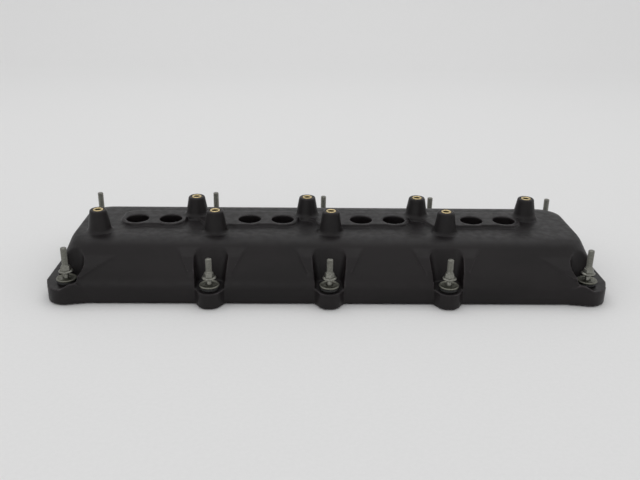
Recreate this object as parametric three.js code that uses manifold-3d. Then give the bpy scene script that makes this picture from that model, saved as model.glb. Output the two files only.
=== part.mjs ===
// Moulded rocker cover that closes the top of one cylinder head of a twin-plug V8.
// Its ten captive studs, their sleeves and rubber grommets, the plug-well seals,
// the brass inserts of the coil towers, the oil baffle and the gasket are separate pieces.
//
// Millimetres. X runs along the cover, Y across it and Z up. Z = 0 is the gasket face,
// and the tips of the loose studs stand on the same plane.

import * as THREE from 'three';
import { mergeVertices } from 'three/addons/utils/BufferGeometryUtils.js';
import Module from 'manifold-3d';

const wasm = await Module();
wasm.setup();

// ---------------------------------------------------------------- driving dimensions

// Engine layout
const borePitch = 113.3;          // distance from one cylinder to the next
const boreCount = 4;
const boreShift = -5.7;           // middle of the four cylinders, from the cover's middle
const plugSpacing = 33.5;         // between the two plugs of one cylinder

// Flange and gasket
const flangeLength = 537;
const flangeWidth = 171;
const flangeCorner = 24;
const flangeTop = 16;
const gasketStand = 1;            // how far the gasket holds the flange off the head
const gasketWidth = 4;
const gasketHeight = 3;
const gasketInset = 5;            // flange edge to the gasket's outer edge, at the ends
const gasketSideInset = 2.6;      // the same along the sides
const flangeLand = 14;            // flange width at the ends
const flangeSideLand = 9;         // flange width along the sides

// Cover body
const wall = 3;
const endLedge = 10;              // flange ledge outside each end wall
const bodyCorner = 22;
const skirtTop = 22;              // lines of the upright skirt and the sloping wall meet here
const skirtBend = 7;              // height of the soft bend on each side of that line
const shoulderHeight = 5.3;       // the sloping wall gives way to the shoulder this far below the top
const topHalfWidth = 37;          // flat top, from the well line to the shoulder
const endDraft = 8;               // how far the end wall leans in
const shoulderRun = 18;           // width of the rounded shoulder along the sides
const endShoulderRun = 6;
const topHeight = 51.3;           // flat top
const deckRise = 3;               // raised deck round the plug wells
const deckBorder = 15.8;          // deck edge round each plug well
const deckBack = 24;              // back edge of the deck, from the well line
const deckWaist = 2.6;            // how far the front edge draws in between two wells

// Plug wells and their seals
const wellRadius = 11.3;
const wellWall = 3.2;
const wellFoot = 14;
const sealDepth = 8;
const sealWall = 1.5;             // sleeve left outside the seal
const sealBore = 9.8;
const sealLip = 1;                // the bore narrows by this much to its lip
const sealLipHeight = 2.4;

// Coil towers and their inserts
const towerHeight = 21.8;         // above the flat top
const towerTopRadius = 8.25;
const towerBaseRadius = 11.25;
const towerFootRadius = 12.4;
const towerFootHeight = 0.5;      // upright rim of the foot, before it slopes to the base
const towerBaseHeight = 2;
const frontTowerOffset = new THREE.Vector2(-48.5, -26.5);
const rearTowerOffset = new THREE.Vector2(41.7, 15.4);
const insertRadius = 5;
const insertBore = 2.6;
const insertLength = 12;
const insertProud = 0.2;

// Stud positions
const frontStudPitch = 111.9;
const rearStudPitch = 120.6;
const rearStudShift = -1.8;       // middle of the rear side studs, from the cover's middle
const sideStudInset = 0.6;        // from the flange's long edge
const cornerStudEndInset = 21.2;  // from the flange's end
const cornerStudSideInset = 14;

// Ears, tool pockets and pads round the studs
const earRadius = 12.8;
const earRootHalf = 14.5;         // half width of an ear where it leaves the skirt
const pocketFootHalf = 13;        // half width of a side pocket at its floor
const pocketCorner = 8;
const pocketDraft = 4;            // how much wider it is on each side at the shoulder
const pocketDepth = 18.9;         // side stud to the back wall of its pocket, at the floor
const pocketBackRun = 10;         // how far that wall leans in by the shoulder
const cornerPocketRadius = 15.5;
const cornerPocketDraft = 3;      // extra radius of a corner pocket at the shoulder
const cornerEarRadius = 18;
const padRise = 3.2;              // pads stand out of the sloping wall
const padRadius = 15;             // the pads' side faces run tangent to this round the stud
const sidePadFlare = 28;          // degrees from Y
const sidePadFade = new THREE.Vector3(-15, -6, 0.5);    // full, still full, gone, from the wall's top
const cornerPadFlare = 57;
const cornerPadRadius = 18.3;
const cornerPadFade = new THREE.Vector3(-19, -14, -5);
const cornerPadEnds = new THREE.Vector2(-12, 44);    // along its edge, from beside the stud

// Studs, sleeves and grommets
const threadRadius = 3;
const shankRadius = 2.4;
const lowerThread = 13;
const seatGap = 6;                // loose studs stand this far above their sleeves
const studFlangeRadius = 6.75;
const studFlangeThickness = 1.5;
const hexAcrossFlats = 10;
const hexHeight = 4.6;
const sideStudLength = 46.6;
const cornerStudLength = 51.2;
const rearStudLengths = [57.1, 53.6, 50.2, 49.2, 53.1];    // from left to right
const sleeveTop = 21.2;
const sleeveHeadRadius = 9.5;
const sleeveHeadThickness = 1.5;
const sleeveTubeRadius = 4.4;
const sleeveBore = 3.4;
const sleeveNeck = 2.75;          // too tight for the thread, so the stud is captive
const sleeveNeckLength = 4;
const sleeveFoot = 1.3;
const grommetRadius = 8;
const grommetFoot = 2;
const gasketClear = 2.5;          // between the gasket and the grommet holes

// Oil baffle
const baffleSheet = 1.2;
const baffleDrop = 13.3;          // its underside below the flat top
const baffleRim = 3.5;
const baffleEndInset = 50.5;      // from the flange's end
const baffleWellMargin = 4;       // front edge from the plug wells
const bafflePocketMargin = 3;     // back edge from the pockets
const baffleScrewSpacing = 80;
const baffleScrewCount = 6;
const baffleScrewPlace = 0.62;    // screws across the tray, from its front edge to its back edge
const bossRadius = 4.5;
const screwRadius = 1.5;
const screwHeadRadius = 4;
const screwHeadHeight = 2.2;
const screwLength = 9;
const drainRadius = 3;
const baffleCorner = 8;

// Clearances
const gap = 0.3;                  // between pieces that touch
const slack = 0.2;                // round a screw or a stud

// ---------------------------------------------------------------- shape helpers

const halfPi = Math.PI / 2;

function solidOf(geometry) {
  const bare = geometry.clone();
  bare.deleteAttribute('normal');
  bare.deleteAttribute('uv');
  const merged = mergeVertices(bare, 1e-5);
  const mesh = new wasm.Mesh({
    numProp: 3,
    vertProperties: merged.attributes.position.array,
    triVerts: new Uint32Array(merged.index.array),
  });
  return new wasm.Manifold(mesh);
}

function geometryOf(solid) {
  const mesh = solid.getMesh();
  const geometry = new THREE.BufferGeometry();
  geometry.setAttribute('position', new THREE.BufferAttribute(mesh.vertProperties, 3));
  geometry.setIndex(new THREE.BufferAttribute(mesh.triVerts, 1));
  const flat = geometry.toNonIndexed();
  flat.computeVertexNormals();
  return flat;
}

function join(solids) {
  return solids.reduce((sum, next) => sum.add(next));
}

function disc(radius, low, high, x = 0, y = 0, segments = 14) {
  const geometry = new THREE.CylinderGeometry(radius, radius, high - low, segments);
  geometry.rotateX(halfPi);
  geometry.translate(x, y, (low + high) / 2);
  return solidOf(geometry);
}

function block(lowX, highX, lowY, highY, lowZ, highZ) {
  const geometry = new THREE.BoxGeometry(highX - lowX, highY - lowY, highZ - lowZ);
  geometry.translate((lowX + highX) / 2, (lowY + highY) / 2, (lowZ + highZ) / 2);
  return solidOf(geometry);
}

// A profile of [radius, height] pairs, turned about Z.
function turned(profile, segments) {
  const points = profile.map(([radius, height]) => new THREE.Vector2(radius, height));
  const geometry = new THREE.LatheGeometry(points, segments);
  geometry.rotateX(halfPi);
  return solidOf(geometry);
}

function prism(points, low, high) {
  const shape = new THREE.Shape(points.map(([x, y]) => new THREE.Vector2(x, y)));
  const geometry = new THREE.ExtrudeGeometry(shape, { depth: high - low, bevelEnabled: false });
  geometry.translate(0, 0, low);
  return solidOf(geometry);
}

// Outline of a rounded rectangle, anticlockwise, with the same number of points every time.
function roundedOutline({ halfX, halfY, corner, x = 0, y = 0 }, arcSteps) {
  const centres = [[1, 1], [-1, 1], [-1, -1], [1, -1]];
  const points = [];
  centres.forEach(([sideX, sideY], quarter) => {
    for (let step = 0; step <= arcSteps; step += 1) {
      const angle = (quarter + step / arcSteps) * halfPi;
      points.push([
        x + sideX * (halfX - corner) + corner * Math.cos(angle),
        y + sideY * (halfY - corner) + corner * Math.sin(angle),
      ]);
    }
  });
  return points;
}

// A closed skin through rounded rectangles stacked from the lowest to the highest.
function lofted(sections, arcSteps = 4) {
  const rings = sections.map((section) => roundedOutline(section, arcSteps));
  const count = rings[0].length;
  const position = [];
  rings.forEach((ring, level) => {
    ring.forEach(([x, y]) => position.push(x, y, sections[level].z));
  });
  const index = [];
  for (let level = 0; level < rings.length - 1; level += 1) {
    for (let i = 0; i < count; i += 1) {
      const a = level * count + i;
      const b = level * count + (i + 1) % count;
      index.push(a, b, b + count, a, b + count, a + count);
    }
  }
  const roof = (rings.length - 1) * count;
  for (let i = 1; i < count - 1; i += 1) {
    index.push(0, i + 1, i);
    index.push(roof, roof + i, roof + i + 1);
  }
  const geometry = new THREE.BufferGeometry();
  geometry.setAttribute('position', new THREE.BufferAttribute(new Float32Array(position), 3));
  geometry.setIndex(index);
  return solidOf(geometry);
}

function mirroredY(solid) {
  return solid.mirror([0, 1, 0]);
}

function onBothEnds(solid) {
  return solid.add(solid.mirror([1, 0, 0]));
}

// ---------------------------------------------------------------- positions

const wallTop = topHeight - shoulderHeight;
const wallSlopeRun = flangeWidth / 2 - topHalfWidth - shoulderRun;
const sideStudY = flangeWidth / 2 - sideStudInset;
const cornerStudX = flangeLength / 2 - cornerStudEndInset;
const cornerStudY = flangeWidth / 2 - cornerStudSideInset;
const pocketBack = sideStudY - pocketDepth;
const wellOuter = wellRadius + wellWall;

const baffleHeight = topHeight - baffleDrop;
const baffleLength = flangeLength - 2 * baffleEndInset;
const baffleFront = wellOuter + baffleWellMargin;
const baffleBack = pocketBack - pocketBackRun - wall - bafflePocketMargin;
const baffleScrewY = baffleFront + baffleScrewPlace * (baffleBack - baffleFront);

const cylinderX = [];
for (let i = 0; i < boreCount; i += 1) {
  cylinderX.push(boreShift + (i - (boreCount - 1) / 2) * borePitch);
}
const wellX = cylinderX.flatMap((x) => [x - plugSpacing / 2, x + plugSpacing / 2]);

const towers = cylinderX.flatMap((x) => [
  { x: x + frontTowerOffset.x, y: frontTowerOffset.y },
  { x: x + rearTowerOffset.x, y: rearTowerOffset.y },
]);

function studRow(side, pitch, shift, lengths) {
  return [-2, -1, 0, 1, 2].map((place, i) => {
    const isCorner = Math.abs(place) === 2;
    return {
      x: isCorner ? Math.sign(place) * cornerStudX : place * pitch + shift,
      y: side * (isCorner ? cornerStudY : sideStudY),
      side,
      isCorner,
      length: lengths[i],
    };
  });
}
const frontStudLengths = [
  cornerStudLength, sideStudLength, sideStudLength, sideStudLength, cornerStudLength,
];
const frontStuds = studRow(-1, frontStudPitch, 0, frontStudLengths);
const rearStuds = studRow(1, rearStudPitch, rearStudShift, rearStudLengths);
const studs = [...frontStuds, ...rearStuds];

const bodyHalfX = flangeLength / 2 - endLedge;
const bodyHalfY = flangeWidth / 2;
const roofHeight = topHeight - wall;
const deckTop = topHeight + deckRise;
const towerTop = topHeight + towerHeight;
const insertTop = towerTop + insertProud;

// ---------------------------------------------------------------- cover shell

const slopeLean = wallSlopeRun / (wallTop - skirtTop);
const endLean = endDraft / (wallTop - skirtTop);

// Half sizes of the body at a height on its sloping wall.
function onSlope(z) {
  return new THREE.Vector3(
    bodyHalfX - endLean * (z - skirtTop),
    bodyHalfY - slopeLean * (z - skirtTop),
    z,
  );
}

function outlineAt({ x, y, z }, rise = 0) {
  return { halfX: x, halfY: y + rise, corner: bodyCorner, z };
}

// Skirt, soft bend, sloping wall, rounded shoulder and flat top.
function bodySections() {
  const skirt = new THREE.QuadraticBezierCurve3(
    new THREE.Vector3(bodyHalfX, bodyHalfY, skirtTop - skirtBend),
    onSlope(skirtTop),
    onSlope(skirtTop + skirtBend),
  ).getPoints(3);
  const start = onSlope(wallTop);
  const end = new THREE.Vector3(start.x - endShoulderRun, start.y - shoulderRun, topHeight);
  const shoulder = new THREE.QuadraticBezierCurve3(start, onSlope(topHeight), end).getPoints(2);
  const foot = new THREE.Vector3(bodyHalfX, bodyHalfY, gasketStand);
  return [foot, ...skirt, ...shoulder].map((point) => outlineAt(point));
}

// Skin of the pads, which rises out of the sloping wall and fades into it again.
function padSections(fade) {
  return [
    outlineAt(onSlope(skirtTop), -padRise),
    outlineAt(onSlope(wallTop + fade.x), padRise),
    outlineAt(onSlope(wallTop + fade.y), padRise),
    outlineAt(onSlope(wallTop + fade.z), -gap),
  ];
}

// The hollow keeps one wall thickness inside the sloping wall and the top.
function hollowSections() {
  const slope = new THREE.Vector2(wallTop - skirtTop, wallSlopeRun).normalize();
  const foot = flangeWidth / 2 - flangeSideLand;
  const slopeY = bodyHalfY - slope.x * wall;
  const slopeZ = skirtTop - slope.y * wall;
  const bendZ = slopeZ + (slopeY - foot) / slopeLean;
  const shoulderZ = wallTop - slope.y * wall;
  const shoulderY = foot - slopeLean * (shoulderZ - bendZ);
  const endFoot = flangeLength / 2 - flangeLand;
  const endTop = bodyHalfX - endDraft - wall;
  const corner = bodyCorner - wall;
  return [
    { halfX: endFoot, halfY: foot, corner, z: gasketStand - 1 },
    { halfX: endFoot - 1, halfY: foot, corner, z: bendZ },
    { halfX: endTop, halfY: shoulderY, corner, z: shoulderZ },
    { halfX: endTop - endShoulderRun / 2, halfY: shoulderY - shoulderRun / 2, corner, z: roofHeight },
  ];
}

function sidePocket(stud, grow, low) {
  const high = topHeight + (grow > 0 ? -wall / 2 : wall);
  const front = sideStudY + 2 * earRadius;
  const section = (z) => {
    const share = Math.max(0, z - flangeTop) / (wallTop - flangeTop);
    const back = pocketBack - grow - pocketBackRun * share;
    return {
      halfX: pocketFootHalf + grow + pocketDraft * share,
      halfY: (front - back) / 2,
      corner: pocketCorner,
      x: stud.x,
      y: -(front + back) / 2,
      z,
    };
  };
  const heights = low < flangeTop ? [low, flangeTop, high] : [low, high];
  const pocket = lofted(heights.map(section), 4);
  return stud.side < 0 ? pocket : mirroredY(pocket);
}

// Pockets at the corners are tapered, and stay open on the outside.
function cornerPocket({ x, y }, grow, low, high, segments) {
  const radiusAt = (z) => cornerPocketRadius + grow
    + cornerPocketDraft * Math.max(0, z - flangeTop) / (wallTop - flangeTop);
  const heights = low < flangeTop ? [low, flangeTop, high] : [low, high];
  const profile = [[0, low], ...heights.map((z) => [radiusAt(z), z]), [0, high]];
  return turned(profile, segments).translate([x, y, 0]);
}

function earSolid({ x, side }) {
  const tip = disc(earRadius, gasketStand, flangeTop, x, -sideStudY, 20);
  const shoulder = earRadius * Math.SQRT1_2;
  const root = prism([
    [x - earRootHalf, 1 - flangeWidth / 2],
    [x - shoulder, -sideStudY - shoulder],
    [x + shoulder, -sideStudY - shoulder],
    [x + earRootHalf, 1 - flangeWidth / 2],
  ], gasketStand, flangeTop);
  const ear = tip.add(root);
  return side < 0 ? ear : mirroredY(ear);
}

// The ear at the front right corner, with a low fence that climbs from its rim to the skirt.
function cornerEar() {
  const tip = disc(cornerEarRadius, gasketStand, flangeTop, cornerStudX, -cornerStudY, 24);
  const front = flangeWidth / 2;
  const reach = cornerStudY + cornerEarRadius;
  const fenceStart = cornerStudX - cornerEarRadius - wall;
  const fenceEnd = cornerStudX + wall;
  const fence = prism([
    [fenceStart, 2 * wall - front],
    [fenceStart, -front],
    [cornerStudX - cornerEarRadius / 2, wall / 2 - reach],
    [cornerStudX, -reach],
    [fenceEnd, -reach],
    [fenceEnd, 2 * wall - front],
  ], gasketStand, skirtTop);
  const slope = prism([
    [fenceStart, gasketStand],
    [fenceEnd, gasketStand],
    [fenceEnd, flangeTop],
    [cornerStudX - 2 * wall, skirtTop - 1],
    [fenceStart + 3 * wall, skirtTop],
    [fenceStart, flangeTop - 1],
  ], front - 3 * wall, reach + wall).rotate([90, 0, 0]);
  return tip.add(fence.intersect(slope));
}

function sidePad(stud) {
  const flare = THREE.MathUtils.degToRad(sidePadFlare);
  const halfAt = (fromStud) => (padRadius + fromStud * Math.sin(flare)) / Math.cos(flare);
  const front = flangeWidth / 2;
  const back = pocketBack - pocketBackRun - wall;
  const outline = [
    [stud.x - halfAt(0), -front],
    [stud.x + halfAt(0), -front],
    [stud.x + halfAt(front - back), -back],
    [stud.x - halfAt(front - back), -back],
  ];
  const pad = prism(outline, skirtTop, topHeight);
  return stud.side < 0 ? pad : mirroredY(pad);
}

function cornerPad() {
  const flare = THREE.MathUtils.degToRad(cornerPadFlare);
  const along = new THREE.Vector2(-Math.sin(flare), Math.cos(flare));
  const out = new THREE.Vector2(-along.y, along.x);
  const start = new THREE.Vector2(cornerStudX, -cornerStudY).addScaledVector(out, cornerPadRadius);
  const at = (distance) => start.clone().addScaledVector(along, distance).toArray();
  const outline = [
    at(cornerPadEnds.x),
    [bodyHalfX, -flangeWidth / 2],
    [bodyHalfX, -pocketBack / 2],
    at(cornerPadEnds.y),
  ];
  return prism(outline, skirtTop, topHeight);
}

function deckSolid() {
  const low = topHeight - 1;
  const lobes = wellX.map((x) => disc(deckBorder, low, deckTop, x, 0, 16));
  const waist = deckBorder - deckWaist;
  const bridges = cylinderX.map((x, i) => {
    const left = x - plugSpacing / 2;
    const right = x + plugSpacing / 2;
    const back = [[right + deckBorder, deckBack], [left - deckBorder, deckBack]];
    if (i === 0) {
      const around = [[left, -waist], [right, -waist], [right + deckBorder, 0]];
      return prism([...around, ...back, [left - deckBorder, 0]], low, deckTop);
    }
    const frontTower = x + frontTowerOffset.x;
    const lastTower = cylinderX[i - 1] + rearTowerOffset.x;
    return prism([
      [frontTower - 6, frontTowerOffset.y + 2],
      [frontTower + 4, frontTowerOffset.y + 2],
      [frontTower + towerBaseRadius, 1 - deckBorder],
      [left, -deckBorder],
      [left + 6, -waist],
      [right, -waist],
      [right + deckBorder, 0],
      back[0],
      [lastTower, deckBack],
      [lastTower, rearTowerOffset.y - towerBaseRadius],
      [lastTower + 6, rearTowerOffset.y - towerFootRadius - 5],
    ], low, deckTop);
  });
  const feet = cylinderX.map((x) => disc(
    towerFootRadius, low, deckTop, x + rearTowerOffset.x, rearTowerOffset.y, 12,
  ));
  return join([...lobes, ...bridges, ...feet]);
}

function towerSolid({ x, y }) {
  const foot = topHeight - 1;
  const ground = y > 0 ? deckTop : topHeight;
  const profile = [
    [0, foot],
    [towerFootRadius, foot],
    [towerFootRadius, ground + towerFootHeight],
    [towerBaseRadius, ground + towerBaseHeight],
    [towerTopRadius, towerTop],
    [0, towerTop],
  ];
  return turned(profile, 14).translate([x, y, 0]);
}

// The band that the gasket fills, and its groove when it is grown by the clearance.
function gasketBand(low, high, grow) {
  const ring = (inset, sideInset, extra, holeRadius) => {
    const plate = lofted([low, high].map((z) => ({
      halfX: flangeLength / 2 - inset + extra,
      halfY: flangeWidth / 2 - sideInset + extra,
      corner: flangeCorner - inset,
      z,
    })));
    const holes = studs.map(({ x, y }) => disc(holeRadius, low - 1, high + 1, x, y, 12));
    return plate.subtract(join(holes));
  };
  const clear = grommetRadius + gap + gasketClear;
  const outer = ring(gasketInset, gasketSideInset, grow, clear - grow);
  const inner = ring(gasketInset + gasketWidth, gasketSideInset + gasketWidth, -grow,
    clear + gasketWidth + grow);
  const tall = inner.translate([0, 0, -1]).add(inner.translate([0, 0, 1])).add(inner);
  return outer.subtract(tall);
}

const baffleScrews = [];
for (let i = 0; i < baffleScrewCount; i += 1) {
  baffleScrews.push({ x: (i - (baffleScrewCount - 1) / 2) * baffleScrewSpacing, y: baffleScrewY });
}
const bossFoot = baffleHeight + baffleSheet + gap;

function coverShell() {
  const flange = lofted([gasketStand, flangeTop].map((z) => ({
    halfX: flangeLength / 2, halfY: flangeWidth / 2, corner: flangeCorner, z,
  })));
  const body = lofted(bodySections());
  const sideStuds = studs.filter(({ isCorner }) => !isCorner);
  const corners = studs.filter(({ isCorner }) => isCorner);
  const sidePads = join(sideStuds.map(sidePad)).intersect(lofted(padSections(sidePadFade)));
  const frontCorners = [
    onBothEnds(cornerPad()).intersect(lofted(padSections(cornerPadFade))),
    onBothEnds(cornerEar()),
  ];
  const outside = join([
    flange, body, sidePads, ...frontCorners, ...frontCorners.map(mirroredY),
    ...sideStuds.map(earSolid), deckSolid(), ...towers.map(towerSolid),
  ]);

  const webs = cylinderX.map((x) => block(
    x - plugSpacing / 2, x + plugSpacing / 2, -wall / 2, wall / 2, wellFoot, topHeight - 1,
  ));
  const kept = join([
    ...sideStuds.map((stud) => sidePocket(stud, wall, gasketStand - 2)),
    ...corners.map((stud) => cornerPocket(stud, wall, gasketStand - 2, topHeight, 16)),
    ...wellX.map((x) => disc(wellOuter, wellFoot, topHeight - 1, x, 0)),
    ...webs,
    ...baffleScrews.map(({ x, y }) => disc(bossRadius, bossFoot, topHeight - 1, x, y, 8)),
  ]);
  const hollow = lofted(hollowSections()).subtract(kept);

  const pockets = [
    ...sideStuds.map((stud) => sidePocket(stud, 0, flangeTop)),
    ...corners.map((stud) => cornerPocket(stud, 0, flangeTop, topHeight + wall, 20)),
  ];
  const grommetHoles = studs.map(({ x, y }) => disc(
    grommetRadius, gasketStand - 1, flangeTop + 1, x, y, 12,
  ));
  const sealRadius = wellOuter - sealWall;
  const wells = wellX.flatMap((x) => [
    disc(wellRadius, wellFoot - 1, deckTop + 1, x, 0, 16),
    disc(sealRadius, wellFoot - 1, wellFoot + sealDepth, x, 0, 16),
  ]);
  const insertFloor = insertTop - insertLength - gap;
  const insertHoles = towers.flatMap(({ x, y }) => [
    disc(insertRadius + gap, insertFloor, towerTop + 1, x, y, 12),
    disc(insertBore, deckTop + 1, insertFloor + 1, x, y, 6),
  ]);
  const screwHoles = baffleScrews.map(({ x, y }) => disc(
    screwRadius + slack, bossFoot - 1, topHeight - wall, x, y, 8,
  ));
  const groove = gasketBand(gasketStand - 1, gasketHeight + gap, gap);
  const cuts = join([
    ...pockets, ...grommetHoles, ...wells, ...insertHoles, ...screwHoles, hollow,
  ]);
  return outside.subtract(cuts).subtract(groove);
}

// ---------------------------------------------------------------- small pieces

function plugSeal() {
  const outer = wellOuter - sealWall - gap;
  const top = wellFoot + sealDepth - gap;
  return turned([
    [sealBore, wellFoot + sealLipHeight],
    [sealBore + sealLip, wellFoot],
    [outer, wellFoot],
    [outer, top],
    [sealBore + sealLip, top],
    [sealBore, wellFoot + sealLipHeight],
  ], 16);
}

function coilInsert() {
  const foot = insertTop - insertLength;
  return turned([
    [insertBore, foot],
    [insertRadius, foot],
    [insertRadius, insertTop],
    [insertBore, insertTop],
    [insertBore, foot],
  ], 12);
}

function grommet() {
  const bore = sleeveTubeRadius + gap;
  const head = sleeveTop - sleeveHeadThickness - gap;
  return turned([
    [bore, grommetFoot],
    [grommetRadius - gap, grommetFoot],
    [grommetRadius - gap, flangeTop + gap],
    [grommetRadius + 0.6, flangeTop + gap],
    [grommetRadius + 0.2, head],
    [bore, head],
    [bore, grommetFoot],
  ], 12);
}

function sleeve() {
  const headFoot = sleeveTop - sleeveHeadThickness;
  return turned([
    [sleeveBore, sleeveFoot],
    [sleeveTubeRadius, sleeveFoot],
    [sleeveTubeRadius, headFoot],
    [sleeveHeadRadius, headFoot],
    [sleeveHeadRadius, sleeveTop - 0.4],
    [sleeveHeadRadius - 0.6, sleeveTop],
    [sleeveNeck, sleeveTop],
    [sleeveNeck, sleeveTop - sleeveNeckLength],
    [sleeveBore, sleeveTop - sleeveNeckLength],
    [sleeveBore, sleeveFoot],
  ], 12);
}

function stud(length) {
  const seat = sleeveTop + seatGap;
  const hexFoot = seat + studFlangeThickness;
  const hexTop = hexFoot + hexHeight;
  const body = turned([
    [0, 0],
    [threadRadius - 0.7, 0],
    [threadRadius, 0.8],
    [threadRadius, lowerThread],
    [shankRadius, lowerThread + 0.5],
    [shankRadius, seat],
    [studFlangeRadius - 0.5, seat],
    [studFlangeRadius, seat + 0.5],
    [studFlangeRadius - 0.8, hexFoot],
    [threadRadius + 1.6, hexFoot + 0.2],
    [threadRadius + 0.9, hexTop + 1],
    [threadRadius, hexTop + 1.6],
    [threadRadius, length - 0.8],
    [threadRadius - 0.7, length],
    [0, length],
  ], 10);
  const hexRadius = hexAcrossFlats / 2 / Math.cos(Math.PI / 6);
  const hex = new THREE.CylinderGeometry(hexRadius * 0.94, hexRadius, hexHeight, 6);
  hex.rotateX(halfPi);
  hex.translate(0, 0, hexFoot + hexHeight / 2 - 0.1);
  return body.add(solidOf(hex));
}

function baffleScrew() {
  const seat = baffleHeight - gap;
  const head = seat - screwHeadHeight;
  return turned([
    [0, head],
    [screwHeadRadius - 1, head],
    [screwHeadRadius, head + 1],
    [screwHeadRadius, seat],
    [screwRadius, seat],
    [screwRadius, seat + screwLength],
    [0, seat + screwLength],
  ], 8);
}

function oilBaffle() {
  const rimTop = baffleHeight + baffleSheet + baffleRim;
  const tray = lofted([baffleHeight, rimTop].map((z) => ({
    halfX: baffleLength / 2,
    halfY: (baffleBack - baffleFront) / 2,
    corner: baffleCorner,
    y: (baffleBack + baffleFront) / 2,
    z,
  })), 3);
  const inside = lofted([baffleHeight + baffleSheet, rimTop + 1].map((z) => ({
    halfX: baffleLength / 2 - baffleSheet,
    halfY: (baffleBack - baffleFront) / 2 - baffleSheet,
    corner: baffleCorner - baffleSheet,
    y: (baffleBack + baffleFront) / 2,
    z,
  })), 3);
  const low = baffleHeight - 1;
  const high = baffleHeight + baffleSheet + 1;
  const screwHoles = baffleScrews.map(({ x, y }) => disc(
    screwRadius + 2 * slack, low, high, x, y, 10,
  ));
  const drains = baffleScrews.slice(1).map(({ x }) => disc(
    drainRadius, low, high, x - baffleScrewSpacing / 2, baffleFront + 3 * drainRadius, 12,
  ));
  return tray.subtract(inside).subtract(join([...screwHoles, ...drains]));
}

// ---------------------------------------------------------------- materials

function finish(color, roughness, metalness) {
  return new THREE.MeshStandardMaterial({ color, roughness, metalness });
}
const blackPlastic = () => finish(0x262425, 0.45, 0);
const blackRubber = () => finish(0x161616, 0.8, 0);
const silicone = () => finish(0x2b3036, 0.6, 0);
const zincSteel = () => finish(0x8d8e8a, 0.4, 1);
const washerSteel = () => finish(0x85857a, 0.45, 1);
const brass = () => finish(0xc9a24a, 0.3, 1);
const sheetSteel = () => finish(0x9a9c9e, 0.5, 1);

// ---------------------------------------------------------------- assembly

const cover = new THREE.Group();
cover.name = 'rocker_cover';

function place(name, solid, material, x = 0, y = 0) {
  const mesh = new THREE.Mesh(geometryOf(solid), material);
  mesh.name = name;
  mesh.position.set(x, y, 0);
  cover.add(mesh);
  return mesh;
}

place('cover_shell', coverShell(), blackPlastic());
place('perimeter_gasket', gasketBand(0, gasketHeight, 0), silicone());
place('oil_baffle', oilBaffle(), sheetSteel());

baffleScrews.forEach(({ x, y }, i) => {
  place(`baffle_screw_${i + 1}`, baffleScrew(), zincSteel(), x, y);
});

wellX.forEach((x, i) => {
  place(`plug_seal_${i + 1}`, plugSeal(), blackRubber(), x);
});

towers.forEach(({ x, y }, i) => {
  place(`coil_insert_${i + 1}`, coilInsert(), brass(), x, y);
});

[['front', frontStuds], ['rear', rearStuds]].forEach(([row, list]) => {
  list.forEach(({ x, y, length }, i) => {
    place(`grommet_${row}_${i + 1}`, grommet(), blackRubber(), x, y);
    place(`sleeve_${row}_${i + 1}`, sleeve(), washerSteel(), x, y);
    place(`stud_${row}_${i + 1}`, stud(length), zincSteel(), x, y);
  });
});

export default cover;
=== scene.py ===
"""Builds the finished look of a moulded rocker cover and its small pieces around the fixed frame."""

import math

import bmesh
import bpy
from bpy.props import FloatProperty, FloatVectorProperty, IntProperty, PointerProperty
from mathutils import Matrix, Vector


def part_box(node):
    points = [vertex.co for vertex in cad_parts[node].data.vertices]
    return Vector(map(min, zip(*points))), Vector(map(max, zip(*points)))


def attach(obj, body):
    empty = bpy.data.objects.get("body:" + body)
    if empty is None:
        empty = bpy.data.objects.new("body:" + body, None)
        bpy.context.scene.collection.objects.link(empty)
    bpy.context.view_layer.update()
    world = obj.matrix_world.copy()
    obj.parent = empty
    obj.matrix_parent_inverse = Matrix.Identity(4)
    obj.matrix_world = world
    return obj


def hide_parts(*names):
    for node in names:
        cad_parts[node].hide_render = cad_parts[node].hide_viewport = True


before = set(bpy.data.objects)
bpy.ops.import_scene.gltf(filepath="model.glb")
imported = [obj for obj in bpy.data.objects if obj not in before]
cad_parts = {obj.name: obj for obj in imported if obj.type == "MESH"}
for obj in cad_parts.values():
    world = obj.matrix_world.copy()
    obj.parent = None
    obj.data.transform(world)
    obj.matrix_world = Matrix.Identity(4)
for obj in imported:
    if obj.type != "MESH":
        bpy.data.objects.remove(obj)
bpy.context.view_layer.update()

bl_info = {
    "name": "Rocker Cover Builder",
    "version": (1, 0, 0),
    "blender": (4, 5, 0),
    "location": "3D View > Sidebar > Rocker Cover",
    "description": "Builds a moulded rocker cover with its studs, inserts, seals and baffle",
    "category": "Object",
}


# ---------------------------------------------------------------- sizes read from the frame

def middle(node):
    """The point halfway between the corners of a frame node's box."""
    low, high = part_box(node)
    return (low + high) / 2


def nodes_called(start):
    """Frame nodes whose names begin with start, in name order."""
    names = [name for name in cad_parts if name.startswith(start)]
    return sorted(names, key=lambda name: (name.rsplit("_", 1)[0], int(name.rsplit("_", 1)[1])))


shell_low, shell_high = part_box("cover_shell")
seal_low, seal_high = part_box("plug_seal_1")
insert_low, insert_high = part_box("coil_insert_1")
sleeve_low, sleeve_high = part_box("sleeve_front_1")
grommet_low, grommet_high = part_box("grommet_front_1")
gasket_low, gasket_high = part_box("perimeter_gasket")
baffle_low, baffle_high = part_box("oil_baffle")
screw_low, screw_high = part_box("baffle_screw_1")

well_points = [middle(name) for name in nodes_called("plug_seal_")]
tower_points = [middle(name) for name in nodes_called("coil_insert_")]
stud_points = [middle(name) for name in nodes_called("sleeve_")]
side_studs = [point for point in stud_points if abs(point.x) < max(p.x for p in stud_points) - 0.01]
corner_studs = [point for point in stud_points if point not in side_studs]
screw_points = [middle(name) for name in nodes_called("baffle_screw_")]


# ---------------------------------------------------------------- sizes and colours to change

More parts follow.
